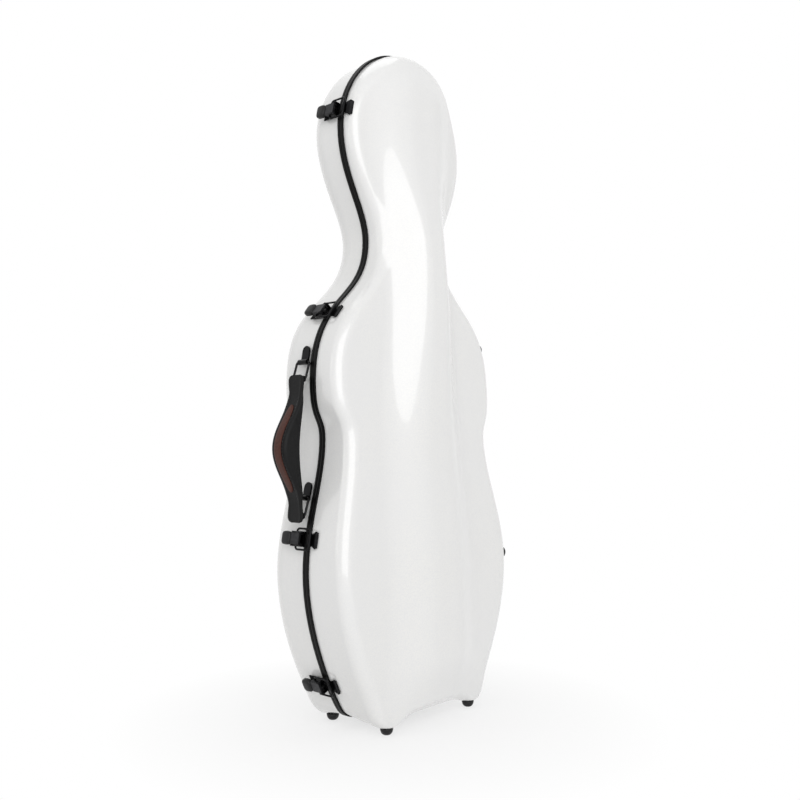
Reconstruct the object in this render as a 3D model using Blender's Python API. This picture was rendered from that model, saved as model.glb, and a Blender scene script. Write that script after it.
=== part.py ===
"""Cello-shaped hard case for a viola: two moulded shells, hinged on the right and latched on the left.

Upright on its four bottom feet, the lid faces -Y and the latches and handle are on the -X side.
Dimensions are in millimetres; the meshes are written in metres. Z = 0 is the floor.
"""
import math

import bmesh
import bpy
import numpy as np
from mathutils import Matrix, Vector

MM = 0.001
GAP = 0.3

# Seam outline of the shells: x, z, direction of travel in degrees, handle before, handle after
OUTLINE = (
    (0, 14, 0, 0, 81),
    (108, 28, 56, 21, 22),
    (163.5, 196, 90, 72, 58),
    (137.5, 353, 90, 50, 29),
    (154, 425, 90, 51, 107),
    (63, 608, 90, 81, 42),
    (109, 748, 90, 62, 55),
    (0, 866, 180, 60, 0),
)
OUTLINE_STEPS = (2, 3, 3, 2, 5, 3, 4)
BASE_Z = 14
TOP_Z = 866
SPINE_FROM_BASE = 95
SPINE_FROM_TOP = 100

# Depth of the shells along their height: z, lid edge, lid crown, back edge
DEPTHS = (
    (14, 63, 84, 78),
    (190, 62, 82, 75),
    (345, 47, 70, 72),
    (430, 40, 70, 71),
    (520, 38, 72, 72),
    (605, 30, 66, 62),
    (690, 24, 52, 63),
    (748, 22, 47, 66),
    (866, 24, 46, 68),
)
# Half-width of the lid's central ridge along its height
RIDGE_WIDTH = ((14, 62), (430, 50), (520, 43), (608, 40), (748, 62), (866, 62))
LID_EDGE_RADIUS = 18
BACK_EDGE_RADIUS = 38
EDGE_SOFTENING = 8
DRAFT = 1.0
BACK_CROWN = 6
SHELL_WALL = 3.0
LINING_WALL = 9.0
LINING_GAP = 1.0
SEAM_GAP = 0.4

RIM_BAND = 2.3
RIM_HEIGHT = 4.2
RIM_LIP = 1.2

# Feet: place of the bottom feet, and of the side feet on each shell
FOOT_X = 80
LID_FOOT_Y = -52
BACK_FOOT_Y = 40
FOOT_RADIUS = 8
BOSS_Z = 8.7
SIDE_FOOT_RADIUS = 9
SIDE_FOOT_HEIGHT = 8
SIDE_FEET = (("lower", 197, -44, 36), ("upper", 484, -20, 34))

# Hinge line: x at the seam for two heights, and the hinge sizes
HINGE_LOW = (169.6, 196)
HINGE_HIGH = (160.1, 425)
HINGE_LENGTH = 60
KNUCKLE_RADIUS = 3.2
HINGE_PIN_RADIUS = 1.4

# Latches: heights on the left side of the seam
LATCH_HEIGHTS = (768, 508, 233, 58)
LATCH_NAMES = ("top", "shoulder", "lower", "bottom")
LEVER_PIN = (6.5, 9.0)
BAIL_PIVOT = (6.0, 15.2)
BAIL_FRONT = -8.2
BAIL_WIRE = 1.2
CAP_LENGTH = 14.5

# Handle on the left side
HANDLE_Y = 13
HANDLE_Z = 342
HANDLE_HALF_LENGTH = 88
STRAP_WIDTH = 26
TAB_OUTER_X = -172
TAB_THICKNESS = 4
GRIP_RISE = 26.5
GRIP_INNER_RISE = 8
GRIP_BOW = 70
RING_HALF_WIDTH = 11
RING_WIRE = 1.5
RING_DROP = 21
RING_REACH = 6.5
BARREL_X = -158.5
BARREL_HEIGHTS = (("upper", 446), ("lower", 283))

# Strap rings on the back
STRAP_PLATES = (("upper", 0, 556), ("left", -92, 92), ("right", 92, 92))
STRAP_RING_OFFSET = 15
STRAP_WIRE = 1.75
STRAP_PLATE_LIFT = 2.4

# Interior
VIOLA_BODY = (
    (0, 62, 0, 0, 75),
    (131, 170, 90, 62, 52),
    (80, 300, 90, 40, 34),
    (106, 398, 90, 42, 44),
    (0, 478, 180, 66, 0),
)
BODY_RECESS = 46
NECK_SLOT_HALF = 24
NECK_SLOT_DEPTH = 32
SCROLL_HALF = 46
SCROLL_DEPTH = 50
POCKET_X = (32, 58)
POCKET_Z = (488, 540)
POCKET_DEPTH = 40
LINING_TOP = 0.9
BOW_CLIP_X = 26
BOW_CLIP_Z = 104
BOW_TIP_Z = 762
CLIP_RISE = 3.2
LOOP_RISE = 5.5

# Middle of the whole object in x and y, which becomes the origin above the floor
CENTRE_X = -12.9
CENTRE_Y = 1.6

COLOURS = {
    "shell": ((0.86, 0.86, 0.85), 0.12, 0.0),
    "trim": ((0.02, 0.02, 0.02), 0.45, 0.0),
    "metal": ((0.03, 0.03, 0.035), 0.25, 0.9),
    "rubber": ((0.015, 0.015, 0.015), 0.6, 0.0),
    "leather": ((0.02, 0.02, 0.022), 0.5, 0.0),
    "inlay": ((0.16, 0.07, 0.045), 0.55, 0.0),
    "plush": ((0.08, 0.08, 0.09), 0.95, 0.0),
    "strap": ((0.03, 0.03, 0.03), 0.8, 0.0),
}


def clear_scene():
    for obj in list(bpy.data.objects):
        bpy.data.objects.remove(obj, do_unlink=True)


def material(kind):
    """The material of one finish, made once."""
    found = bpy.data.materials.get(kind)
    if found:
        return found
    colour, roughness, metallic = COLOURS[kind]
    made = bpy.data.materials.new(kind)
    made.use_nodes = True
    shader = made.node_tree.nodes["Principled BSDF"]
    shader.inputs["Base Color"].default_value = (*colour, 1)
    shader.inputs["Roughness"].default_value = roughness
    shader.inputs["Metallic"].default_value = metallic
    return made


def make_object(name, points, faces, kind="trim", matrix=None, smooth=None):
    """One closed mesh object from points in millimetres, with its normals made to face out."""
    mesh = bpy.data.meshes.new(name)
    mesh.from_pydata([tuple(p) for p in np.asarray(points, float) * MM], [], faces)
    obj = bpy.data.objects.new(name, mesh)
    bpy.context.scene.collection.objects.link(obj)
    build = bmesh.new()
    build.from_mesh(mesh)
    bmesh.ops.remove_doubles(build, verts=build.verts, dist=1e-6)
    bmesh.ops.recalc_face_normals(build, faces=build.faces)
    build.to_mesh(mesh)
    build.free()
    mesh.materials.append(material(kind))
    if matrix is not None:
        obj.matrix_world = matrix
    if smooth is not None:
        mesh.shade_smooth()
        mesh.set_sharp_from_angle(angle=math.radians(smooth))
    return obj


def pivot(name, place, pieces):
    """An empty on a joint's axis that carries the pieces which turn about it."""
    empty = bpy.data.objects.new(name, None)
    bpy.context.scene.collection.objects.link(empty)
    empty.location = Vector(place) * MM
    for piece in pieces:
        child = bpy.data.objects[piece]
        child.parent = empty
        child.matrix_parent_inverse = Matrix.Translation(-empty.location)
    return empty


def combine(base, others, operation):
    """Applies a Boolean between the first object and each of the others, which are then removed."""
    for other in others:
        modifier = base.modifiers.new(operation.lower(), "BOOLEAN")
        modifier.operation = operation
        modifier.solver = "EXACT"
        modifier.object = other
    graph = bpy.context.evaluated_depsgraph_get()
    graph.update()
    result = bpy.data.meshes.new_from_object(base.evaluated_get(graph), depsgraph=graph)
    base.modifiers.clear()
    base.data = result
    for other in others:
        bpy.data.objects.remove(other, do_unlink=True)
    return base


def copy_of(obj, name, matrix):
    """Another object on the same mesh, placed by its own matrix."""
    twin = bpy.data.objects.new(name, obj.data)
    bpy.context.scene.collection.objects.link(twin)
    twin.matrix_world = matrix
    return twin


def prism(name, profile, low, high, kind="trim", axis=2, matrix=None, smooth=None):
    """A flat profile carried straight along one axis; the other two axes take the profile's columns."""
    profile = np.asarray(profile, float)
    count = len(profile)
    columns = [a for a in range(3) if a != axis]
    points = np.zeros((2 * count, 3))
    points[:count, columns] = profile
    points[count:, columns] = profile
    points[:count, axis] = low
    points[count:, axis] = high
    faces = [[i, (i + 1) % count, (i + 1) % count + count, i + count] for i in range(count)]
    faces.append(list(range(count))[::-1])
    faces.append([i + count for i in range(count)])
    return make_object(name, points, faces, kind, matrix, smooth)


def circle(radius, sides, centre=(0, 0), start=0.0, sweep=360.0):
    """Points of a circle or arc; a full circle doesn't repeat its first point."""
    full = sweep == 360.0
    angles = np.radians(start + np.linspace(0, sweep, sides, endpoint=not full))
    return np.stack([centre[0] + radius * np.cos(angles), centre[1] + radius * np.sin(angles)], 1)


def rounded_box(low, high, radius, steps=3):
    """Profile of a rectangle with round corners."""
    corners = ((high[0], high[1], 0), (low[0], high[1], 90), (low[0], low[1], 180), (high[0], low[1], 270))
    parts = []
    for x, y, start in corners:
        centre = (x - radius if x == high[0] else x + radius, y - radius if y == high[1] else y + radius)
        parts.append(circle(radius, steps, centre, start, 90))
    return np.concatenate(parts)


def turned(name, profile, sides, kind, matrix=None):
    """A profile of radius and height turned about Z, closed at both ends on the axis."""
    angles = np.arange(sides) * 2 * math.pi / sides
    points, rows = [], []
    for radius, z in profile:
        start = len(points)
        if radius == 0:
            points.append((0, 0, z))
            rows.append([start] * sides)
        else:
            points += [(radius * math.cos(a), radius * math.sin(a), z) for a in angles]
            rows.append(list(range(start, start + sides)))
    faces = []
    for lower, upper in zip(rows[:-1], rows[1:]):
        for i in range(sides):
            ring = [lower[i], lower[(i + 1) % sides], upper[(i + 1) % sides], upper[i]]
            faces.append(list(dict.fromkeys(ring)))
    return make_object(name, points, [f for f in faces if len(f) > 2], kind, matrix, 40)


def wire_loop(name, path, radius, kind, matrix=None, sides=6):
    """A round wire along a closed flat path in the local YZ plane."""
    path = np.asarray(path, float)
    forward = np.roll(path, -1, 0) - path
    backward = path - np.roll(path, 1, 0)
    tangent = forward / np.linalg.norm(forward, axis=1)[:, None]
    tangent += backward / np.linalg.norm(backward, axis=1)[:, None]
    tangent /= np.linalg.norm(tangent, axis=1)[:, None]
    normal = np.stack([tangent[:, 1], -tangent[:, 0]], 1)
    angles = (np.arange(sides) + 0.5) * 2 * math.pi / sides
    points, faces = [], []
    for a in angles:
        flat = path + normal * radius * math.cos(a)
        points += [(radius * math.sin(a), y, z) for y, z in flat]
    count = len(path)
    for k in range(sides):
        following = (k + 1) % sides
        for i in range(count):
            j = (i + 1) % count
            faces.append([k * count + i, k * count + j, following * count + j, following * count + i])
    return make_object(name, points, faces, kind, matrix, 60)


def bezier_path(knots, steps):
    """Points and directions along a chain of cubic curves through the knots."""
    points, directions = [], []
    for first, second, count in zip(knots[:-1], knots[1:], steps):
        turn_a, turn_b = math.radians(first[2]), math.radians(second[2])
        a = np.array(first[:2], float)
        d = np.array(second[:2], float)
        b = a + first[4] * np.array([math.cos(turn_a), math.sin(turn_a)])
        c = d - second[3] * np.array([math.cos(turn_b), math.sin(turn_b)])
        last = second is knots[-1]
        t = np.linspace(0, 1, count + 1)[: None if last else -1, None]
        points.append((1 - t) ** 3 * a + 3 * t * (1 - t) ** 2 * b + 3 * t**2 * (1 - t) * c + t**3 * d)
        directions.append((1 - t) ** 2 * (b - a) + 2 * t * (1 - t) * (c - b) + t**2 * (d - c))
    directions = np.concatenate(directions)
    return np.concatenate(points), directions / np.linalg.norm(directions, axis=1)[:, None]


def mirrored(half):
    """A closed loop from its right half, which starts and ends on x = 0."""
    left = half[-2:0:-1] * np.array([-1, 1])
    return np.concatenate([half, left])


def outline(offset=0.0):
    """The seam outline moved outwards by an offset, as a closed loop of x and z."""
    points, directions = bezier_path(OUTLINE, OUTLINE_STEPS)
    normals = np.stack([directions[:, 1], -directions[:, 0]], 1)
    moved = points + offset * normals
    moved[[0, -1], 0] = 0
    return mirrored(moved)


def outline_at(height):
    """Half-width of the outline at a height, with its outward normal on the right side."""
    points, directions = bezier_path(OUTLINE, [40] * (len(OUTLINE) - 1))
    i = np.abs(points[:, 1] - height)[50:].argmin() + 50
    return points[i], np.array([directions[i, 1], -directions[i, 0]])


def smooth_table(z, table, column):
    """A column of a table as a smooth curve of height, with slopes from its neighbours."""
    heights = np.array([row[0] for row in table], float)
    values = np.array([row[column] for row in table], float)
    slopes = np.gradient(values, heights)
    z = np.clip(z, heights[0], heights[-1])
    i = np.clip(np.searchsorted(heights, z) - 1, 0, len(heights) - 2)
    span = heights[i + 1] - heights[i]
    t = (z - heights[i]) / span
    rise = t * t * (3 - 2 * t)
    return (
        values[i] * (1 - rise)
        + values[i + 1] * rise
        + span * (t * (1 - t) ** 2 * slopes[i] - t * t * (1 - t) * slopes[i + 1])
    )


def ridge(x, z):
    """How much of the lid's ridge height stands at a place: one on the centre line, none beyond its foot."""
    width = smooth_table(z, RIDGE_WIDTH, 1)
    across = np.clip((np.abs(x) - 0.25 * width) / (1.35 * width), 0, 1)
    near_end = np.clip((z - BASE_Z) / 70, 0, 1) * np.clip((TOP_Z - z) / 60, 0, 1)
    fade = 0.35 + 0.65 * near_end**2 * (3 - 2 * near_end)
    return (0.5 + 0.5 * np.cos(math.pi * across)) * fade


def shell_rings(side, inset, seam):
    """Rings of a shell surface from the seam inwards. Side is -1 for the lid and 1 for the back."""
    edge = outline()
    moved = outline(-inset)
    spine_z = np.clip(edge[:, 1], BASE_Z + SPINE_FROM_BASE, TOP_Z - SPINE_FROM_TOP)
    spine = np.stack([np.zeros(len(edge)), spine_z], 1)
    length = np.linalg.norm(spine - edge, axis=1)
    column = 1 if side < 0 else 3
    big = LID_EDGE_RADIUS if side < 0 else BACK_EDGE_RADIUS
    depth = smooth_table(edge[:, 1], DEPTHS, column)
    radius = big * depth / (depth + EDGE_SOFTENING)
    rings = [np.stack([moved[:, 0], np.full(len(edge), seam), moved[:, 1]], 1)]
    stops = [(DRAFT + radius * (1 - math.cos(a)), math.sin(a)) for a in np.radians((0, 45, 90))]
    inner_start = stops[-1][0]
    stops += [(inner_start + (length - inner_start) * f, 1.0) for f in (0.3, 0.62, 1.0)]
    for distance, rise in stops:
        share = (distance / length)[:, None]
        flat = moved * (1 - share) + spine * share
        x, z = flat.T
        local = smooth_table(z, DEPTHS, column)
        local_radius = big * local / (local + EDGE_SOFTENING)
        y = local - local_radius * (1 - rise)
        if side < 0:
            y = y + (smooth_table(z, DEPTHS, 2) - local) * ridge(x, z) * rise**2
        else:
            y = y + BACK_CROWN * share[:, 0] * rise
        y = y - inset * rise
        rings.append(np.stack([x, y, z], 1))
    result = np.array(rings)
    result[:, :, 1] *= side
    return result


def surface_depth(side, x, z, inset=0.0):
    """Depth of the flat part of a shell at a place, measured from the seam plane."""
    column = 1 if side < 0 else 3
    depth = smooth_table(z, DEPTHS, column)
    if side < 0:
        return depth + (smooth_table(z, DEPTHS, 2) - depth) * ridge(x, z) - inset
    half = outline_at(z)[0][0]
    return depth + BACK_CROWN * (1 - abs(x) / half) - inset


def wall_drop(side, height, y):
    """How far the shell's side wall has curved inwards at a distance y from the seam."""
    depth = float(smooth_table(height, DEPTHS, 1 if side < 0 else 3))
    radius = (LID_EDGE_RADIUS if side < 0 else BACK_EDGE_RADIUS) * depth / (depth + EDGE_SOFTENING)
    straight = depth - radius
    if y <= straight:
        return DRAFT * y / straight
    return DRAFT + radius * (1 - math.sqrt(1 - min((y - straight) / radius, 1) ** 2))


def ring_faces(rings, count, turn=0):
    """Triangles between neighbouring rings. Before the turn they take the other diagonal."""
    faces = []
    for k in range(rings - 1):
        for i in range(count):
            j = (i + 1) % count
            a, b, c, d = k * count + i, k * count + j, (k + 1) * count + j, (k + 1) * count + i
            faces += [[a, b, d], [b, c, d]] if k < turn else [[a, b, c], [a, c, d]]
    return faces


def skin(name, outer, inner, kind):
    """A shell wall between an outer and an inner set of rings, joined along the seam."""
    count = outer.shape[1]
    stack = np.concatenate([outer[::-1], inner])
    faces = ring_faces(len(stack), count, len(outer) - 1)
    return make_object(name, stack.reshape(-1, 3), faces, kind, smooth=35)


def shell(name, side, foot_y):
    """One moulded shell with the two bosses that its bottom feet sit on."""
    start = SEAM_GAP / 2 + RIM_LIP + GAP
    body = skin(name, shell_rings(side, 0, start), shell_rings(side, SHELL_WALL, start), "shell")
    bosses = []
    for x in (-FOOT_X, FOOT_X):
        profile = [(0, BOSS_Z), (11, BOSS_Z), (14, BOSS_Z + 1.2), (21, BASE_Z + 0.6)]
        profile += [(20, BASE_Z + 1.6), (0, BASE_Z + 1.6)]
        place = Matrix.Translation(Vector((x, foot_y, 0)) * MM)
        bosses.append(turned("boss", profile, 10, "shell", place))
    combine(body, bosses, "UNION")
    return body


def rim(name, side):
    """The edge trim of one shell: a band outside the wall and a lip under its edge."""
    low, high = SEAM_GAP / 2, RIM_HEIGHT
    profile = (
        (-SHELL_WALL, low),
        (RIM_BAND, low),
        (RIM_BAND, high),
        (GAP, high),
        (GAP, low + RIM_LIP),
        (-SHELL_WALL, low + RIM_LIP),
    )
    rings = []
    for offset, y in profile:
        loop = outline(offset)
        rings.append(np.stack([loop[:, 0], np.full(len(loop), side * y), loop[:, 1]], 1))
    rings.append(rings[0])
    count = rings[0].shape[0]
    return make_object(name, np.concatenate(rings), ring_faces(len(rings), count), "trim", smooth=35)


def fitting_face(x, z, rise):
    """Y of the flat underside of a fitting that stands on the lid's lining."""
    return rise - float(surface_depth(-1, x, z, LINING_WALL))


def lid_lining():
    """The padded plush lining of the lid."""
    outer = shell_rings(-1, SHELL_WALL + LINING_GAP, LINING_TOP)
    return skin("lid_lining", outer, shell_rings(-1, LINING_WALL, LINING_TOP), "plush")


def back_lining():
    """The foam bed of the back, with its recesses for the viola and a small pocket."""
    outer = shell_rings(1, SHELL_WALL + LINING_GAP, LINING_TOP)
    count = outer.shape[1]
    faces = ring_faces(len(outer), count) + [list(range(count))]
    bed = make_object("back_lining", outer.reshape(-1, 3), faces, "plush", smooth=35)
    body = mirrored(bezier_path(VIOLA_BODY, (4, 4, 4, 4))[0])
    above = -4
    cutters = [
        prism("cut", body, above, LINING_TOP + BODY_RECESS, axis=1),
        prism("cut", rounded_box((-NECK_SLOT_HALF, 468), (NECK_SLOT_HALF, 700), 6),
              above, NECK_SLOT_DEPTH, axis=1),
        prism("cut", rounded_box((-SCROLL_HALF, 690), (SCROLL_HALF, 806), 20), above, SCROLL_DEPTH, axis=1),
        prism("cut", rounded_box((POCKET_X[0], POCKET_Z[0]), (POCKET_X[1], POCKET_Z[1]), 4),
              above, POCKET_DEPTH, axis=1),
    ]
    rebate = ((POCKET_X[0] - 4.5, POCKET_Z[0] - 4.5), (POCKET_X[1] + 4.5, POCKET_Z[1] + 4.5))
    cutters.append(prism("cut", rounded_box(*rebate, 4), above, LINING_TOP + 3.6, axis=1))
    return combine(bed, cutters, "DIFFERENCE")


def pocket_lid():
    """The plush-covered board that closes the pocket, hinged along its inner edge."""
    low = (POCKET_X[0] - 4, POCKET_Z[0] - 4)
    high = (POCKET_X[1] + 4, POCKET_Z[1] + 4)
    front = LINING_TOP + GAP
    prism("accessory_lid", rounded_box(low, high, 4), front, front + 2.9, "plush", axis=1)
    pivot("accessory_lid_pivot", (low[0], front, (low[1] + high[1]) / 2), ["accessory_lid"])


def neck_rest():
    """The padded saddle under the neck."""
    low, high = 12.0, NECK_SLOT_DEPTH - GAP
    half = NECK_SLOT_HALF - GAP
    notch = circle(15, 7, (0, low - 2), 8, 164)
    profile = np.concatenate([[(half, low), (half, high), (-half, high), (-half, low)], notch[::-1]])
    return prism("neck_rest", profile, 540, 580, "plush")


def neck_strap():
    """The soft strap that holds the neck down, a low arch over the neck slot."""
    outer = np.array([(36, 0.4), (34, -4), (22, -11), (0, -14), (-22, -11), (-34, -4), (-36, 0.4)])
    inner = np.array([(-31, 0.4), (-29, -3), (-19, -8.6), (0, -11.6), (19, -8.6), (29, -3), (31, 0.4)])
    return prism("neck_strap", np.concatenate([outer, inner]), 546, 574, "strap", smooth=50)


def bow_fittings():
    """Two turn clips at the bottom of the lid, and a loop for the tips of the bows at its head."""
    for name, x in (("left_bow_clip", -BOW_CLIP_X), ("right_bow_clip", BOW_CLIP_X)):
        face = fitting_face(x, BOW_CLIP_Z, CLIP_RISE) + GAP
        clip = prism(name, circle(7, 8), face, face + 9, "trim", axis=1)
        bar = prism("bar", rounded_box((-16, -6), (16, 6), 5.5), face + 7, face + 13, "trim", axis=1)
        combine(clip, [bar], "UNION")
        clip.location = Vector((x, 0, BOW_CLIP_Z)) * MM
        pivot(f"{name}_pivot", (x, face, BOW_CLIP_Z), [name])
    face = fitting_face(0, BOW_TIP_Z, LOOP_RISE) + GAP
    hull = [(-33, face), (-33, face + 3), (-26, face + 11), (26, face + 11), (33, face + 3), (33, face)]
    hole = [(-27, face + 1.6), (-24, face + 8.8), (24, face + 8.8), (27, face + 1.6)]
    loop = prism("bow_tip_loop", hull, BOW_TIP_Z - 14, BOW_TIP_Z + 14, "strap")
    combine(loop, [prism("cut", hole, BOW_TIP_Z - 20, BOW_TIP_Z + 20)], "DIFFERENCE")


def side_matrix(height, right=False):
    """A frame on the seam outline: X outwards, Y to the back, Z along the seam."""
    point, normal = outline_at(height)
    sign = 1 if right else -1
    out = Vector((sign * normal[0], 0, normal[1]))
    back = Vector((0, 1, 0))
    along = out.cross(back)
    frame = Matrix((out, back, along)).transposed().to_4x4()
    return Matrix.Translation(Vector((sign * point[0], 0, point[1])) * MM) @ frame


def latches():
    """Four draw latches: base with its ears and pin, lever, rubber cap, wire bail and catch plate."""
    pin_x, pin_y = LEVER_PIN
    base = prism("base", ((1.0, 5.0), (2.4, 5.0), (2.4, 29.0), (1.0, 29.0)), -9, 9, "metal")
    ear_arc = circle(4.2, 7, (pin_x, pin_y), 90, -180)
    ear = np.concatenate([[(1.4, pin_y - 4.2)], [(1.4, pin_y + 4.2)], ear_arc])
    ears = [prism("ear", ear, low, low + 1.8, "metal") for low in (-9, 7.2)]
    rod = prism("rod", circle(1.2, 8, (pin_x, pin_y)), -8.5, 8.5, "metal")
    combine(base, ears + [rod], "UNION")

    pivot_x, pivot_y = BAIL_PIVOT
    channel = ((10.2, -6.8), (10.2, 6.8), (3.8, 6.8), (3.8, 4.9),
               (8.4, 4.9), (8.4, -4.9), (3.8, -4.9), (3.8, -6.8))
    plate = prism("lever", channel, 6.6, 21.2, "metal", axis=1)
    pin_bore = prism("cut", circle(1.7, 8, (pin_x, pin_y)), -10, 10)
    bail_bore = prism("cut", circle(BAIL_WIRE + 0.4, 8, (pivot_x, pivot_y)), -10, 10)
    combine(plate, [pin_bore, bail_bore], "DIFFERENCE")

    cap = prism("cap", rounded_box((4.6, 21.5), (12.6, 21.5 + CAP_LENGTH), 3.6, 3), -8.2, 8.2,
                "rubber", smooth=50)

    half = 12.4
    path = rounded_box((BAIL_FRONT, -half), (pivot_y, half), 4, 3)
    bail = wire_loop("bail", path, BAIL_WIRE, "metal", Matrix.Translation(Vector((pivot_x, 0, 0)) * MM))

    for name, height in zip(LATCH_NAMES, LATCH_HEIGHTS):
        frame = side_matrix(height)
        for piece, label in ((base, "base"), (plate, "lever"), (cap, "cap")):
            copy_of(piece, f"{name}_latch_{label}", frame)
        copy_of(bail, f"{name}_latch_bail", frame @ bail.matrix_world)
        lever_pin = frame @ (Vector((pin_x, pin_y, 0)) * MM)
        bail_bar = frame @ (Vector((pivot_x, pivot_y, 0)) * MM)
        pivot(f"{name}_lever_pivot", lever_pin / MM, [f"{name}_latch_lever", f"{name}_latch_cap"])
        pivot(f"{name}_bail_pivot", bail_bar / MM, [f"{name}_latch_bail"])
        catch_plate(f"{name}_latch_catch", height, frame)
    for piece in (base, plate, cap, bail):
        bpy.data.objects.remove(piece, do_unlink=True)


def catch_plate(name, height, frame):
    """A fan-shaped plate on the lid with the lug that the bail hooks over."""
    drop = wall_drop(-1, height, 17)
    profile = (
        (0.7, -4.7, 6.5),
        (6.4, -4.7, 6.0),
        (6.8, -6.5, 6.0),
        (2.4, -6.7, 7.0),
        (2.4, -9.5, 7.8),
        (2.5 - 0.45 * drop, -13.5, 10.4),
        (2.2 - drop, -16.2, 9.0),
        (0.9 - drop, -16.4, 8.6),
        (0.9 - 0.45 * drop, -13.5, 10.4),
        (0.7, -9.5, 7.8),
    )
    count = len(profile)
    points = [(x, y, -w) for x, y, w in profile] + [(x, y, w) for x, y, w in profile]
    faces = [[i, (i + 1) % count, (i + 1) % count + count, i + count] for i in range(count)]
    top = [[0, 1, 2, 3], [0, 3, 4, 9], [9, 4, 5, 8], [8, 5, 6, 7]]
    faces += [f[::-1] for f in top] + [[i + count for i in f] for f in top]
    return make_object(name, points, faces, "metal", frame, 35)


def hinges():
    """Two leaf hinges on one straight line along the right side."""
    low = Vector((HINGE_LOW[0], 0, HINGE_LOW[1]))
    high = Vector((HINGE_HIGH[0], 0, HINGE_HIGH[1]))
    line = (high - low).normalized()
    out = Vector((0, 1, 0)).cross(line)
    frame = Matrix((out, Vector((0, 1, 0)), line)).transposed().to_4x4()
    count = 5
    step = HINGE_LENGTH / count
    for label, centre, height in (("lower", low, HINGE_LOW[1]), ("upper", high, HINGE_HIGH[1])):
        place = Matrix.Translation(centre * MM) @ frame
        for side, leaf_name, mine in ((1, "back", (0, 2, 4)), (-1, "lid", (1, 3))):
            wall = -(centre.x - outline_at(height)[0][0])
            end_drop = wall_drop(side, height, 22)
            sheet = (
                (-0.6, side * 3.8),
                (1.0, side * 3.8),
                (1.0, side * 5.2),
                (wall + 2.4, side * 8.5),
                (wall + 2.4 - end_drop, side * 22),
                (wall + 0.8 - end_drop, side * 22),
                (wall + 0.8, side * 7.5),
                (-0.6, side * 4.8),
            )
            name = f"{label}_hinge_{leaf_name}_leaf"
            leaf = prism(name, sheet, -HINGE_LENGTH / 2, HINGE_LENGTH / 2, "metal", matrix=place)
            arms = []
            for k in mine:
                start = -HINGE_LENGTH / 2 + k * step + GAP / 2
                stop = start + step - GAP
                arms.append(prism("knuckle", circle(KNUCKLE_RADIUS, 8), start, stop, "metal", matrix=place))
                arm = ((-0.6, 0), (1.0, 0), (1.0, side * 4.4), (-0.6, side * 4.4))
                arms.append(prism("arm", arm, start, stop, "metal", matrix=place))
            combine(leaf, arms, "UNION")
            bore = prism("cut", circle(HINGE_PIN_RADIUS + 0.4, 8), -HINGE_LENGTH, HINGE_LENGTH, matrix=place)
            combine(leaf, [bore], "DIFFERENCE")
        pin = HINGE_LENGTH / 2 + 1
        prism(f"{label}_hinge_pin", circle(HINGE_PIN_RADIUS, 8), -pin, pin, "metal", matrix=place, smooth=40)


def grip_line(s, start, rise):
    """X of one face of the grip at a distance s from its middle."""
    bow = np.cos(math.pi * np.clip(s, -GRIP_BOW, GRIP_BOW) / (2 * GRIP_BOW)) ** 2
    return start - rise * bow


def handle():
    """The leather handle on two wire rings, each held in the barrel of a riveted bracket."""
    s = np.linspace(-HANDLE_HALF_LENGTH, HANDLE_HALF_LENGTH, 17)
    z = HANDLE_Z + s
    outer = np.stack([grip_line(s, TAB_OUTER_X, GRIP_RISE), z], 1)
    inner = np.stack([grip_line(s, TAB_OUTER_X + TAB_THICKNESS, GRIP_INNER_RISE), z], 1)
    low, high = HANDLE_Y - STRAP_WIDTH / 2, HANDLE_Y + STRAP_WIDTH / 2
    grip = prism("handle_grip", np.concatenate([outer, inner[::-1]]), low, high, "leather", axis=1)
    bevel = grip.modifiers.new("edge", "BEVEL")
    bevel.width = 1.6 * MM
    bevel.segments = 1
    bevel.limit_method = "ANGLE"
    bevel.angle_limit = math.radians(50)
    combine(grip, [], "UNION")
    loops, bores = [], []
    for label, barrel_z in BARREL_HEIGHTS:
        bar = (BARREL_X - RING_REACH, barrel_z - RING_DROP)
        tab = TAB_OUTER_X + TAB_THICKNESS - 0.8
        loop = np.concatenate([[(tab, bar[1] - 4)], circle(3.8, 7, bar, -90, 180), [(tab, bar[1] + 4)]])
        half = RING_HALF_WIDTH - 2.6
        loops.append(prism("loop", loop, HANDLE_Y - half, HANDLE_Y + half, "leather", axis=1))
        bores.append(prism("cut", circle(RING_WIRE + 0.4, 8, bar), low - 5, high + 5, axis=1))
        ring_frame = Matrix.Translation(Vector((BARREL_X, HANDLE_Y, barrel_z)) * MM)
        ring_frame = ring_frame @ Matrix.Rotation(math.atan2(RING_REACH, RING_DROP), 4, "Y")
        length = math.hypot(RING_REACH, RING_DROP)
        path = rounded_box((-RING_HALF_WIDTH, -length), (RING_HALF_WIDTH, 0), 2.5, 3)
        wire_loop(f"{label}_handle_ring", path, RING_WIRE, "metal", ring_frame, 8)
        bracket(label, barrel_z)
        pivot(f"{label}_handle_ring_pivot", (BARREL_X, HANDLE_Y, barrel_z), [f"{label}_handle_ring"])
    combine(grip, loops, "UNION")
    combine(grip, bores, "DIFFERENCE")
    inlay_s = np.linspace(-52, 52, 11)
    top = np.stack([grip_line(inlay_s, TAB_OUTER_X, GRIP_RISE) - 1.3, HANDLE_Z + inlay_s], 1)
    under = np.stack([grip_line(inlay_s, TAB_OUTER_X, GRIP_RISE) - 0.45, HANDLE_Z + inlay_s], 1)
    prism("handle_inlay", np.concatenate([top, under[::-1]]), HANDLE_Y - 6, HANDLE_Y + 6, "inlay", axis=1)
    upper_bar = (BARREL_X - RING_REACH, HANDLE_Y, BARREL_HEIGHTS[0][1] - RING_DROP)
    pivot("handle_grip_pivot", upper_bar, ["handle_grip", "handle_inlay"])


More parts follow.
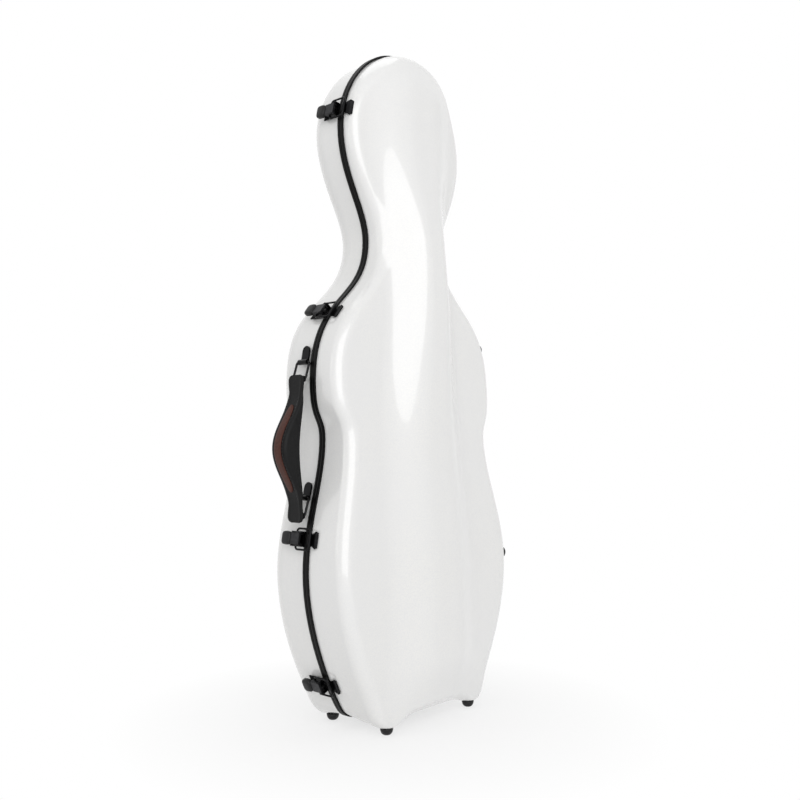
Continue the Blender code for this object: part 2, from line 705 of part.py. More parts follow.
def bracket(label, barrel_z):
    """A plate on the back shell with a barrel in which the handle ring turns."""
    centre_z = barrel_z + 6
    point, normal = outline_at(centre_z)
    lean = math.atan2(normal[1], normal[0])
    place = Matrix.Translation(Vector((-point[0], HANDLE_Y, point[1])) * MM) @ Matrix.Rotation(lean, 4, "Y")
    low, high = -6, 6
    shape = np.concatenate([[(low, -9.5), (high, -9.5)], circle(6, 7, (0, 6), 0, 180)])
    plate = prism(f"{label}_handle_bracket", shape, -4.2, -2.0, "metal", axis=0, matrix=place)
    tube = prism("barrel", circle(3.4, 10, (BARREL_X, barrel_z)), HANDLE_Y - 7.5, HANDLE_Y + 7.5,
                 "metal", axis=1)
    back = -point[0] - 2.6
    web = ((back, barrel_z - 2.6), (BARREL_X, barrel_z - 2.6),
           (BARREL_X, barrel_z + 2.6), (back, barrel_z + 2.6))
    rib = prism("rib", web, HANDLE_Y - 5, HANDLE_Y + 5, "metal", axis=1)
    combine(plate, [tube, rib], "UNION")
    bore = prism("cut", circle(RING_WIRE + 0.4, 8, (BARREL_X, barrel_z)),
                 HANDLE_Y - 20, HANDLE_Y + 20, axis=1)
    return combine(plate, [bore], "DIFFERENCE")


def strap_rings():
    """Plates on the back with D-rings that hang from them, for carrying straps."""
    for label, x, z in STRAP_PLATES:
        face = float(surface_depth(1, x, z)) + STRAP_PLATE_LIFT
        half = 27 if x == 0 else 13
        plate = prism(f"{label}_strap_plate", rounded_box((x - half, z - 9), (x + half, z + 9), 5),
                      face, face + 1.6, "metal", axis=1)
        upper = [("upper_left", -STRAP_RING_OFFSET), ("upper_right", STRAP_RING_OFFSET)]
        ring_names = upper if x == 0 else [(f"lower_{label}", 0)]
        barrel_y = face + 4.4
        barrels = []
        for _, offset in ring_names:
            tube = prism("barrel", circle(3.3, 8, (barrel_y, z - 2)), x + offset - 7, x + offset + 7,
                         "metal", axis=0)
            web = ((face + 1, z - 4.6), (face + 1, z + 0.6), (barrel_y, z + 0.6), (barrel_y, z - 4.6))
            barrels += [tube, prism("rib", web, x + offset - 7, x + offset + 7, "metal", axis=0)]
        combine(plate, barrels, "UNION")
        cuts = []
        for name, offset in ring_names:
            bore = circle(STRAP_WIRE + 0.4, 8, (barrel_y, z - 2))
            cuts.append(prism("cut", bore, x + offset - 12, x + offset + 12, axis=0))
            strap_ring(f"{name}_strap_ring", x + offset, barrel_y, z - 2)
            pivot(f"{name}_strap_ring_pivot", (x + offset, barrel_y, z - 2), [f"{name}_strap_ring"])
        combine(plate, cuts, "DIFFERENCE")


def strap_ring(name, x, y, z):
    """One D-ring: a straight bar in the barrel and a half circle below it."""
    reach = 10.5
    arc = circle(reach, 7, (0, -8), 180, 180)
    path = np.concatenate([[(reach, -1.5), (reach - 1.5, 0), (-reach + 1.5, 0), (-reach, -1.5)], arc])
    frame = Matrix.Translation(Vector((x, y, z)) * MM) @ Matrix.Rotation(math.radians(90), 4, "Z")
    return wire_loop(name, path, STRAP_WIRE, "metal", frame)


def feet():
    """Rubber feet: four under the bottom, and two on the right side of each shell."""
    profile = [(0, 0), (3.6, 0), (6.3, 1.8), (7.6, 4.4), (FOOT_RADIUS, BOSS_Z - GAP), (0, BOSS_Z - GAP)]
    for label, y in (("lid", LID_FOOT_Y), ("back", BACK_FOOT_Y)):
        for side, x in (("left", -FOOT_X), ("right", FOOT_X)):
            turned(f"{label}_{side}_foot", profile, 10, "rubber", Matrix.Translation(Vector((x, y, 0)) * MM))
    height = SIDE_FOOT_HEIGHT
    radius = SIDE_FOOT_RADIUS
    dome = [(0, 0.6), (radius, 0.6), (radius * 0.95, height * 0.45), (radius * 0.7, height * 0.85),
            (radius * 0.4, height), (0, height)]
    turn = Matrix.Rotation(math.radians(90), 4, "Y")
    for label, z, lid_y, back_y in SIDE_FEET:
        for shell_name, y in (("lid", lid_y), ("back", back_y)):
            place = side_matrix(z, right=True) @ Matrix.Translation(Vector((0, y, 0)) * MM) @ turn
            turned(f"{label}_{shell_name}_side_foot", dome, 8, "rubber", place)


def centre_on_origin():
    """One empty carries everything, so that the origin lies on the floor below the middle of the object."""
    frame = bpy.data.objects.new("case_frame", None)
    bpy.context.scene.collection.objects.link(frame)
    for obj in bpy.data.objects:
        if obj.parent is None and obj is not frame:
            obj.parent = frame
    frame.location = Vector((-CENTRE_X, -CENTRE_Y, 0)) * MM


def build():
    clear_scene()
    shell("lid_shell", -1, LID_FOOT_Y)
    shell("back_shell", 1, BACK_FOOT_Y)
    rim("lid_rim", -1)
    rim("back_rim", 1)
    lid_lining()
    back_lining()
    pocket_lid()
    neck_rest()
    neck_strap()
    bow_fittings()
    latches()
    hinges()
    handle()
    strap_rings()
    feet()
    lid_pieces = ["lid_shell", "lid_rim", "lid_lining", "bow_tip_loop",
                  "left_bow_clip_pivot", "right_bow_clip_pivot"]
    lid_pieces += [f"{name}_latch_catch" for name in LATCH_NAMES]
    lid_pieces += [f"{label}_hinge_lid_leaf" for label in ("lower", "upper")]
    lid_pieces += ["lid_left_foot", "lid_right_foot", "lower_lid_side_foot", "upper_lid_side_foot"]
    pivot("lid_pivot", (HINGE_LOW[0], 0, HINGE_LOW[1]), lid_pieces)
    centre_on_origin()


build()
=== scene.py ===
"""Looks of a cello-shaped hard case for a viola.

It has pearl-white moulded shells, black trim, draw latches and a leather handle.
The frame is in metres with +Z up. The lid faces -Y, and the latches and the handle are on the -X side.
"""

import math

import bmesh
import bpy
import numpy as np
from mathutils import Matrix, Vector


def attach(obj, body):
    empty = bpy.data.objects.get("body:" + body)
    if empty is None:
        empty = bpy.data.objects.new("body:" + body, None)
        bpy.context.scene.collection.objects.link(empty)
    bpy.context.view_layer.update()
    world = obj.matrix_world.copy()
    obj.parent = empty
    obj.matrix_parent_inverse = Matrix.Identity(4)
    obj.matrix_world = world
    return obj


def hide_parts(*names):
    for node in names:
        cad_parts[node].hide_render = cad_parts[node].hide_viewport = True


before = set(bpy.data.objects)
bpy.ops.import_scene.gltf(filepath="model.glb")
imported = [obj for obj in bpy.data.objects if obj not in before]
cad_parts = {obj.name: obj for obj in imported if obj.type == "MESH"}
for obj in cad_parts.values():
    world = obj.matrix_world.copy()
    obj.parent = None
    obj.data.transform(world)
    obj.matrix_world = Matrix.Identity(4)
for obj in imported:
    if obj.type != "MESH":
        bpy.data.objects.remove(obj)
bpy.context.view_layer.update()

# Sizes below are in millimetres, and angles in degrees, unless a comment says otherwise
MM = 0.001
# Place of the seam plane and the centre line in the frame, which has the middle of the whole object at zero
CENTRE_X = 12.9
CENTRE_Y = -1.6

# Seam outline: x, z, direction in degrees, handle before, handle after
OUTLINE = (
    (0, 14, 0, 0, 81),
    (108, 28, 56, 21, 22),
    (163.5, 196, 90, 72, 58),
    (137.5, 353, 90, 50, 29),
    (154, 425, 90, 51, 107),
    (63, 608, 90, 81, 42),
    (109, 748, 90, 62, 55),
    (0, 866, 180, 60, 0),
)
OUTLINE_STEPS = (14, 16, 20, 10, 26, 16, 22)
# Points per curve for finding a place on the side, and how many are passed over along the bottom
FINE_STEPS = 40
BOTTOM_POINTS = 50
BASE_Z = 14
TOP_Z = 866

# Line inside each shell that its face runs in to: how far it stops from the bottom and the top
SPINE_FROM_BASE = 95
SPINE_FROM_TOP = 100
# Height, then depths from the seam at the lid's edge, on the lid's ridge and at the back's edge
DEPTHS = (
    (14, 63, 84, 78),
    (190, 62, 82, 75),
    (345, 47, 70, 72),
    (430, 40, 70, 71),
    (520, 38, 72, 72),
    (605, 30, 66, 62),
    (690, 24, 52, 63),
    (748, 22, 47, 66),
    (866, 24, 46, 68),
)
LID_EDGE, LID_RIDGE, BACK_EDGE = 1, 2, 3
# Ridge of the lid: height and width, then flat and reach as shares of the width, and its fade to the ends
RIDGE_WIDTH = ((14, 62), (430, 50), (520, 43), (608, 40), (748, 62), (866, 62))
RIDGE_FLAT = 0.25
RIDGE_REACH = 1.35
RIDGE_FADE_BELOW = 70
RIDGE_FADE_ABOVE = 60
RIDGE_AT_ENDS = 0.35
LID_EDGE_RADIUS = 18
BACK_EDGE_RADIUS = 38
EDGE_SOFTENING = 8
DRAFT = 1.0
BACK_CROWN = 6
EDGE_RINGS = 13
FACE_RINGS = 27

# Walls, and where each of them starts beside the seam plane
SHELL_WALL = 3.0
LINING_GAP = 1.0
LINING_WALL = 9.0
SHELL_START = 1.7
LINING_TOP = 0.9
RIM_INNER = -3.0
RIM_BAND = 2.5
RIM_LOW = 0.2
RIM_HIGH = 4.6

# Feet: places, profiles of radius and height, and the bulges of the shell that carry the four bottom ones
FOOT_X = 80
LID_FOOT_Y = -52
BACK_FOOT_Y = 40
FOOT_PROFILE = (
    (0, 0), (3.4, 0), (4.4, 0.3), (5.8, 1.3), (6.9, 2.8),
    (7.6, 4.6), (7.95, 6.4), (8, 8.2), (7.8, 8.4), (0, 8.4),
)
BULGE_LOW_Z = 8.7
BULGE_RADIUS = 24
BULGE_TOP_Z = 60
BULGE_BLEND = 35
# Side feet: name, height, then place across on the lid and on the back
SIDE_FEET = (("lower", 197, -44, 36), ("upper", 484, -20, 34))
DOME_BASE = ((0, 0.6), (8.4, 0.6))
DOME_CENTRE = (4.5, 3.2)
DOME_RADII = (4.4, 4.7)

# Draw latches: heights, and sizes from the outline outwards (x), to the back (y) and along the seam
LATCHES = (("top", 768), ("shoulder", 508), ("lower", 233), ("bottom", 58))
CAP_LOW = (4.6, 21.5)
CAP_HIGH = (12.6, 36.0)
CAP_HALF = 8.2
CAP_CORNER = 0.62
CAP_RINGS = 25
CAP_SIDES = 36
BAIL_X = 6.0
BAIL_Y = (-8.2, 15.2)
BAIL_HALF = 12.4
BAIL_CORNER = 4
BAIL_WIRE = 1.2

# Handle: its middle, the tabs at its ends and the bow between them
HANDLE_Y = 13
HANDLE_Z = 342
HANDLE_HALF_LENGTH = 88
STRAP_HALF = 13
TAB_OUTER_X = -172
TAB_THICKNESS = 4
TAB_ROUNDING = 7
TAB_END_WIDTH = 0.55
TAB_END_THICKNESS = 0.6
GRIP_RISE = 26.5
GRIP_INNER_RISE = 8
GRIP_PADDING = 3.5
GRIP_BOW = 70
GRIP_CORNER = 0.35
GRIP_RINGS = 121
GRIP_SIDES = 48
NECKING = 0.12
NECKING_PLACE = 66
NECKING_SPREAD = 8
# Welts beside the inlay: place and spread are shares of the half width, and room is left in the solid
WELT_HEIGHT = 0.5
WELT_PLACE = 0.78
WELT_SPREAD = 0.1
WELT_ROOM = 0.35
WELT_SHIFT = 0.3
RING_BARS = (("upper", -165, 425), ("lower", -165, 262))
LOOP_PROFILE = ((2.1, -8.4), (3.5, -8.4), (3.8, -8.0), (3.8, 8.0), (3.5, 8.4), (2.1, 8.4), (2.1, -8.4))
INLAY_HALF_LENGTH = 52
INLAY_HALF_WIDTH = 6
INLAY_CROWN = 0.9
INLAY_STANDING = 0.2
INLAY_SUNK = 0.3
INLAY_RINGS = 61
INLAY_COLUMNS = 15
STITCH_ROW_HALF = 60
STITCH_PITCH = 4.0
STITCH_HALF = 1.3
STITCH_SIDE = 8.0
STITCH_RADIUS = 0.32
STITCH_STANDING = 0.15
STITCH_RINGS = 7
STITCH_SIDES = 6

# Distance in metres within which the points of a mesh are merged
MERGE_DISTANCE_M = 2e-5
# Soft pieces: how their copied solids are flattened and rounded
FLAT_ANGLE = 4
ROUNDED_ANGLE = 40
BEVEL_SEGMENTS = 3

# Camera of the photograph, placed from the seam's centre line
CAMERA_PLACE = (-890.94, -792.66, 340)
CAMERA_AZIMUTH = -48.43
CAMERA_PITCH = 3.19
CAMERA_LENS = 40.48
CAMERA_REACH_M = 50
# Stage: how bright the white around is as light and as seen, and the floor's fade into white, in metres
SKY_LIGHT = 0.5
SKY_SEEN = 1.0
FLOOR_RADIUS_M = 8
FLOOR_SIDES = 96
FLOOR_FADE_M = (-0.6, 0.35)
# Lamps: name, place in metres, size in metres, power in watts; all of them face one point
LAMPS = (
    ("key_softbox", (-1.9, -2.7, 1.3), 3.4, 61),
    ("left_strip", (-2.6, 0.9, 1.0), 1.0, 2),
    ("top_softbox", (0.2, 0.4, 3.2), 1.6, 6),
)
LAMP_AIM_M = (0, 0, 0.42)


def linear(code):
    """An sRGB hex colour as linear red, green, blue and alpha."""
    values = np.array([int(code[i:i + 2], 16) / 255 for i in (0, 2, 4)])
    values = np.where(values <= 0.04045, values / 12.92, ((values + 0.055) / 1.055) ** 2.4)
    return (*values, 1.0)


def add(tree, kind, links=(), **settings):
    """Adds one node: its settings are attributes or socket values, its links are (socket, output) pairs."""
    node = tree.nodes.new(kind)
    for name, value in settings.items():
        if hasattr(node, name):
            setattr(node, name, value)
        else:
            node.inputs[name.replace("_", " ")].default_value = value
    for socket, output in links:
        tree.links.new(output, node.inputs[socket])
    return node


def start_material(name, code, roughness, metallic=0.0, **shader_values):
    """A material with a Principled shader whose plain values are set on its own sockets."""
    made = bpy.data.materials.new(name)
    made.use_nodes = True
    shader = made.node_tree.nodes["Principled BSDF"]
    shader.inputs["Base Color"].default_value = linear(code)
    shader.inputs["Roughness"].default_value = roughness
    shader.inputs["Metallic"].default_value = metallic
    for socket, value in shader_values.items():
        shader.inputs[socket.replace("_", " ")].default_value = value
    return made, made.node_tree, shader


def two_shades(tree, shader, source, dark, light, low=0.0, high=1.0):
    """Joins a grey pattern to the shader's colour through a ramp between two shades."""
    ramp = add(tree, "ShaderNodeValToRGB", [("Fac", source)])
    ramp.color_ramp.elements[0].position = low
    ramp.color_ramp.elements[1].position = high
    ramp.color_ramp.elements[0].color = linear(dark)
    ramp.color_ramp.elements[1].color = linear(light)
    tree.links.new(ramp.outputs["Color"], shader.inputs["Base Color"])


def mottled(name, dark, light, size_mm, roughness, bump_mm, metallic=0.0, **shader_values):
    """A surface between two shades, mixed by a noise of a real size, with a bump of a real depth."""
    made, tree, shader = start_material(name, light, roughness, metallic, **shader_values)
    place = add(tree, "ShaderNodeTexCoord").outputs["Object"]
    grain = add(tree, "ShaderNodeTexNoise", [("Vector", place)], Scale=1000 / size_mm, Detail=4.0)
    noise = grain.outputs["Fac"]
    two_shades(tree, shader, noise, dark, light, 0.3, 0.7)
    rough_swing = 0.06
    swing = add(tree, "ShaderNodeMapRange", [("Value", noise)])
    swing.inputs["To Min"].default_value = roughness - rough_swing
    swing.inputs["To Max"].default_value = roughness + rough_swing
    tree.links.new(swing.outputs["Result"], shader.inputs["Roughness"])
    bump = add(tree, "ShaderNodeBump", [("Height", noise)], Strength=1.0, Distance=bump_mm * MM)
    tree.links.new(bump.outputs["Normal"], shader.inputs["Normal"])
    return made


def pearl_gel_coat():
    """Gel coat over fibreglass: white with pearl flakes and a slow wave of the mould, under a clear coat."""
    flake_mm, wave_mm, wave_depth_mm = 1.2, 140, 0.3
    clear = {"Coat_Weight": 1.0, "Coat_Roughness": 0.05}
    made, tree, shader = start_material("pearl_gel_coat", "EFEFEE", 0.25, **clear)
    place = add(tree, "ShaderNodeTexCoord").outputs["Object"]
    flakes = add(tree, "ShaderNodeTexVoronoi", [("Vector", place)], Scale=1000 / flake_mm)
    cloud = add(tree, "ShaderNodeTexNoise", [("Vector", place)], Scale=1000 / wave_mm, Detail=1.0)
    drift = cloud.outputs["Fac"]
    pearl = add(tree, "ShaderNodeMix", [("Factor", flakes.outputs["Color"])], data_type="RGBA")
    pearl.inputs[6].default_value = linear("ECECEC")
    pearl.inputs[7].default_value = linear("F7F6F2")
    clouded = add(tree, "ShaderNodeMix", [("Factor", drift)], data_type="RGBA")
    tree.links.new(pearl.outputs[2], clouded.inputs[6])
    clouded.inputs[7].default_value = linear("F0F0F0")
    tree.links.new(clouded.outputs[2], shader.inputs["Base Color"])
    wave = add(tree, "ShaderNodeBump", [("Height", drift)], Strength=0.25, Distance=wave_depth_mm * MM)
    tree.links.new(wave.outputs["Normal"], shader.inputs["Normal"])
    tree.links.new(wave.outputs["Normal"], shader.inputs["Coat Normal"])
    return made


def woven(name, dark, light, thread_mm, roughness=0.85):
    """Webbing: two crossed waves, one thread wide, lift and darken the cloth."""
    made, tree, shader = start_material(name, light, roughness)
    place = add(tree, "ShaderNodeTexCoord").outputs["Object"]
    warp, weft = (add(tree, "ShaderNodeTexWave", [("Vector", place)], bands_direction=direction,
                      Scale=1000 / thread_mm / 20).outputs["Fac"] for direction in ("X", "Z"))
    both = add(tree, "ShaderNodeMath", [(0, warp), (1, weft)], operation="MULTIPLY")
    two_shades(tree, shader, both.outputs["Value"], dark, light)
    bump = add(tree, "ShaderNodeBump", [("Height", both.outputs["Value"])], Strength=0.8, Distance=0.3 * MM)
    tree.links.new(bump.outputs["Normal"], shader.inputs["Normal"])
    return made


# Polished gel coat, a deep, glossy white. Real flakes are too fine to show, so these are drawn coarser
GEL_COAT = pearl_gel_coat()
# Extruded vinyl edging, a flat black that shows almost no reflection
TRIM = mottled("extruded_black_vinyl", "020202", "050505", 3, 0.38, 0.02, Specular_IOR_Level=0.15)
# Black nickel over steel, dark and sharp in its reflections
STEEL = mottled("black_nickel_plate", "111112", "1E1E20", 6, 0.3, 0.01, metallic=0.85)
# The same plating over brushed steel on the levers, a little paler and softer
SATIN = mottled("satin_black_nickel", "2C2C2E", "3E3E40", 2.5, 0.38, 0.01, metallic=0.9)
# Moulded rubber of caps and feet, black with a wide dull sheen
RUBBER = mottled("moulded_rubber", "060607", "0E0E0F", 1.2, 0.45, 0.04, Specular_IOR_Level=0.35)
# Embossed leather, whose pebbles break the light into fine points
LEATHER = mottled("pebbled_black_leather", "020203", "09090A", 1.6, 0.5, 0.4, Specular_IOR_Level=0.22)
# Smooth dyed leather of the inlay, a reddish brown with soft mottling
SMOOTH_LEATHER = mottled("smooth_brown_leather", "3B1F18", "532F25", 2.2, 0.5, 0.1, Specular_IOR_Level=0.25)
# Waxed thread, a shade paler than the leather round it
THREAD = mottled("waxed_linen_thread", "2A2A2B", "3C3C3D", 0.8, 0.6, 0.05)
# Short plush, matt grey with a pale bloom at grazing angles
PLUSH = mottled("short_pile_plush", "3A3B42", "50525B", 1.4, 0.95, 0.3, Sheen_Weight=0.5)
# Injection-moulded nylon of the bow clips, an even black
MOULDED = mottled("moulded_black_nylon", "111111", "1C1C1C", 1.0, 0.45, 0.03)
# Woven webbing, whose threads show as a fine check
WEBBING = woven("woven_black_webbing", "0C0C0C", "1E1E1E", 1.5)
# Matt paper under the case
PAPER = ("white_paper_floor", "F4F4F4", 0.9)


def make_piece(name, points, faces, material, body, replaces=(), sharp=35):
    """One mesh from points on the seam frame: moved to the object's frame, merged and turned outwards."""
    mesh = bpy.data.meshes.new(name)
    moved = (np.asarray(points, float) + np.array([CENTRE_X, CENTRE_Y, 0])) * MM
    mesh.from_pydata(moved.tolist(), [], faces)
    build = bmesh.new()
    build.from_mesh(mesh)
    bmesh.ops.remove_doubles(build, verts=build.verts, dist=MERGE_DISTANCE_M)
    bmesh.ops.recalc_face_normals(build, faces=build.faces)
    build.to_mesh(mesh)
    build.free()
    mesh.shade_smooth()
    mesh.set_sharp_from_angle(angle=math.radians(sharp))
    mesh.materials.append(material)
    piece = bpy.data.objects.new(name, mesh)
    bpy.context.scene.collection.objects.link(piece)
    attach(piece, body)
    if replaces:
        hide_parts(*replaces)
    return piece


def grid_faces(rows, columns, wrap_rows=False):
    """Quads of a grid of points numbered row by row, closed round its columns and, where asked, its rows."""
    i, j = np.meshgrid(np.arange(rows if wrap_rows else rows - 1), np.arange(columns), indexing="ij")
    next_i, next_j = (i + 1) % rows, (j + 1) % columns
    corners = (i * columns + j, i * columns + next_j, next_i * columns + next_j, next_i * columns + j)
    return np.stack(corners, -1).reshape(-1, 4).tolist()


def capped_grid(rows, columns):
    """Quads of a tube's grid with one face over each of its ends."""
    last = (rows - 1) * columns
    return grid_faces(rows, columns) + [list(range(columns)), list(range(last, last + columns))]


def full_circle(count):
    """Angles spaced evenly round a circle."""
    return np.arange(count) * 2 * math.pi / count


def squircle(count, power):
    """A square with rounded corners: cosine and sine raised to a power below one, with their signs kept."""
    angle = full_circle(count)
    c, s = np.cos(angle), np.sin(angle)
    return np.sign(c) * np.abs(c) ** power, np.sign(s) * np.abs(s) ** power


def bezier_path(knots, steps):
    """Cubic curves through the knots: each point weighs four controls by the cubic Bernstein terms."""
    points, directions = [], []
    for first, second, count in zip(knots[:-1], knots[1:], steps):
        turn_a, turn_b = math.radians(first[2]), math.radians(second[2])
        a, d = np.array(first[:2], float), np.array(second[:2], float)
        b = a + first[4] * np.array([math.cos(turn_a), math.sin(turn_a)])
        c = d - second[3] * np.array([math.cos(turn_b), math.sin(turn_b)])
        t = np.linspace(0, 1, count + 1)[: None if second is knots[-1] else -1, None]
        points.append((1 - t) ** 3 * a + 3 * t * (1 - t) ** 2 * b + 3 * t**2 * (1 - t) * c + t**3 * d)
        directions.append((1 - t) ** 2 * (b - a) + 2 * t * (1 - t) * (c - b) + t**2 * (d - c))
    directions = np.concatenate(directions)
    return np.concatenate(points), directions / np.linalg.norm(directions, axis=1)[:, None]


def outline(offset=0.0):
    """The closed seam outline, moved outwards along its normals by an offset."""
    points, directions = bezier_path(OUTLINE, OUTLINE_STEPS)
    moved = points + offset * np.stack([directions[:, 1], -directions[:, 0]], 1)
    moved[[0, -1], 0] = 0
    return np.concatenate([moved, moved[-2:0:-1] * np.array([-1, 1])])


def outline_at(height):
    """Point and normal on the outline's right side at a height: the nearest of many above the bottom edge."""
    points, directions = bezier_path(OUTLINE, [FINE_STEPS] * (len(OUTLINE) - 1))
    i = np.abs(points[:, 1] - height)[BOTTOM_POINTS:].argmin() + BOTTOM_POINTS
    return points[i], np.array([directions[i, 1], -directions[i, 0]])


def smooth_table(z, table, column):
    """A table's column as a Hermite curve of height, with slopes from neighbouring rows."""
    heights = np.array([row[0] for row in table], float)
    values = np.array([row[column] for row in table], float)
    slopes = np.gradient(values, heights)
    z = np.clip(z, heights[0], heights[-1])
    i = np.clip(np.searchsorted(heights, z) - 1, 0, len(heights) - 2)
    span = heights[i + 1] - heights[i]
    t = (z - heights[i]) / span
    rise = t * t * (3 - 2 * t)
    bend = span * (t * (1 - t) ** 2 * slopes[i] - t * t * (1 - t) * slopes[i + 1])
    return values[i] * (1 - rise) + values[i + 1] * rise + bend


def ridge(x, z):
    """The lid's central ridge: a raised cosine across, faded near both ends."""
    width = smooth_table(z, RIDGE_WIDTH, 1)
    across = np.clip((np.abs(x) - RIDGE_FLAT * width) / (RIDGE_REACH * width), 0, 1)
    below = np.clip((z - BASE_Z) / RIDGE_FADE_BELOW, 0, 1)
    above = np.clip((TOP_Z - z) / RIDGE_FADE_ABOVE, 0, 1)
    inwards = below * above
    fade = RIDGE_AT_ENDS + (1 - RIDGE_AT_ENDS) * inwards**2 * (3 - 2 * inwards)
    return (0.5 + 0.5 * np.cos(math.pi * across)) * fade


def foot_bulge(side, x, y, z, inset):
    """How far the shell is drawn down at its two feet: a bell of distance from a foot, blended out above."""
    foot_y = LID_FOOT_Y if side < 0 else BACK_FOOT_Y
    away = (np.abs(x) - FOOT_X) ** 2 + (y - foot_y) ** 2
    bell = np.exp(-((away / BULGE_RADIUS**2) ** 1.5))
    low = np.clip((BULGE_TOP_Z - z) / BULGE_BLEND, 0, 1)
    return np.clip(z - BULGE_LOW_Z - inset, 0, BULGE_TOP_Z) * bell * low * low * (3 - 2 * low)


def shell_grid(side, inset, seam):
    """Rings of a shell, side -1 for the lid: up the drafted wall, round its edge arc and in to the spine."""
    edge, moved = outline(), outline(-inset)
    spine_z = np.clip(edge[:, 1], BASE_Z + SPINE_FROM_BASE, TOP_Z - SPINE_FROM_TOP)
    spine = np.stack([np.zeros(len(edge)), spine_z], 1)
    length = np.linalg.norm(spine - edge, axis=1)
    column = LID_EDGE if side < 0 else BACK_EDGE
    big = LID_EDGE_RADIUS if side < 0 else BACK_EDGE_RADIUS
    depth = smooth_table(edge[:, 1], DEPTHS, column)
    radius = big * depth / (depth + EDGE_SOFTENING)
    rings = [np.stack([moved[:, 0], np.full(len(edge), float(seam)), moved[:, 1]], 1)]
    arcs = np.radians(np.linspace(0, 90, EDGE_RINGS))
    stops = [(DRAFT + radius * (1 - math.cos(a)), math.sin(a)) for a in arcs]
    start = stops[-1][0]
    stops += [(start + (length - start) * f, 1.0) for f in np.linspace(0, 1, FACE_RINGS)[1:]]
    for distance, rise in stops:
        share = (distance / length)[:, None]
        x, z = (moved * (1 - share) + spine * share).T
        local = smooth_table(z, DEPTHS, column)
        y = local - big * local / (local + EDGE_SOFTENING) * (1 - rise)
        if side < 0:
            y = y + (smooth_table(z, DEPTHS, LID_RIDGE) - local) * ridge(x, z) * rise**2
        else:
            y = y + BACK_CROWN * (1 - (1 - share[:, 0]) ** 2) * rise
        y = (y - inset * rise) * side
        rings.append(np.stack([x, y, z - foot_bulge(side, x, y, z, inset)], 1))
    return np.array(rings)


def skin(name, side, outer_inset, inner_inset, seam, material, body, node):
    """A wall between two shell grids that meet in a flat edge at the seam."""
    stack = np.concatenate([shell_grid(side, outer_inset, seam)[::-1], shell_grid(side, inner_inset, seam)])
    faces = grid_faces(len(stack), stack.shape[1])
    return make_piece(name, stack.reshape(-1, 3), faces, material, body, (node,))


def rim(name, side, body, node):
    """The edge trim: a band with a rounded outer corner and a lip, swept round the outline by offsets."""
    profile = (
        (RIM_INNER, RIM_LOW), (RIM_BAND - 0.6, RIM_LOW), (RIM_BAND - 0.15, RIM_LOW + 0.2),
        (RIM_BAND, RIM_LOW + 0.7), (RIM_BAND, RIM_HIGH - 0.9), (RIM_BAND - 0.25, RIM_HIGH - 0.25),
        (RIM_BAND - 0.9, RIM_HIGH), (0.3, RIM_HIGH), (0.3, RIM_LOW + 1.2), (RIM_INNER, RIM_LOW + 1.2),
    )
    loops = []
    for offset, y in profile:
        loop = outline(offset)
        loops.append(np.stack([loop[:, 0], np.full(len(loop), side * y), loop[:, 1]], 1))
    stack = np.array(loops)
    faces = grid_faces(len(stack), stack.shape[1], wrap_rows=True)
    return make_piece(name, stack.reshape(-1, 3), faces, TRIM, body, (node,), 30)


def turned(name, profile, origin, axes, material, body, replaces=()):
    """A profile of radius and height turned about the first of three axes; rows with no radius close it."""
    sides = 40
    angle = full_circle(sides)
    radius, height = np.array(profile, float).T
    up, u, v = (np.array(a, float) for a in axes)
    ring = np.cos(angle)[:, None] * u + np.sin(angle)[:, None] * v
    points = np.array(origin, float) + height[:, None, None] * up + radius[:, None, None] * ring[None]
    faces = grid_faces(len(profile), sides)
    return make_piece(name, points.reshape(-1, 3), faces, material, body, replaces, 50)


def side_frame(height, right=False):
    """Origin and axes on the outline: outwards, to the back, and along the seam."""
    point, normal = outline_at(height)
    sign = 1 if right else -1
    out = np.array([sign * normal[0], 0, normal[1]])
    back = np.array([0.0, 1.0, 0.0])
    return np.array([sign * point[0], 0, point[1]]), out, back, np.cross(out, back)


def rounded_path(low, high, radius, steps=8):
    """Points of a rectangle whose corners are quarter circles."""
    corners = ((high[0], high[1], 0), (low[0], high[1], 90), (low[0], low[1], 180), (high[0], low[1], 270))
    parts = []
    for x, y, start in corners:
        angle = np.radians(start + np.linspace(0, 90, steps))
        cx = x - radius if x == high[0] else x + radius
        cy = y - radius if y == high[1] else y + radius
        parts.append(np.stack([cx + radius * np.cos(angle), cy + radius * np.sin(angle)], 1))
    return np.concatenate(parts)


def tube_loop(path, radius, sides=14):
    """A round wire round a flat closed path: each ring lies across the path's direction."""
    along = np.roll(path, -1, 0) - np.roll(path, 1, 0)
    along /= np.linalg.norm(along, axis=1)[:, None]
    flat = np.cross(path[1] - path[0], path[len(path) // 3] - path[0])
    flat /= np.linalg.norm(flat)
    across = np.cross(along, flat)
    angle = full_circle(sides)[None, :, None]
    rings = path[:, None] + radius * (np.cos(angle) * across[:, None] + np.sin(angle) * flat)
    return rings.reshape(-1, 3), grid_faces(len(path), sides, wrap_rows=True)


def seen_share(tree):
    """One for the camera's own rays and for reflections, nothing for the light that falls on things."""
    path = add(tree, "ShaderNodeLightPath")
    rays = [(0, path.outputs["Is Camera Ray"]), (1, path.outputs["Is Glossy Ray"])]
    return add(tree, "ShaderNodeMath", rays, operation="MAXIMUM").outputs["Value"]


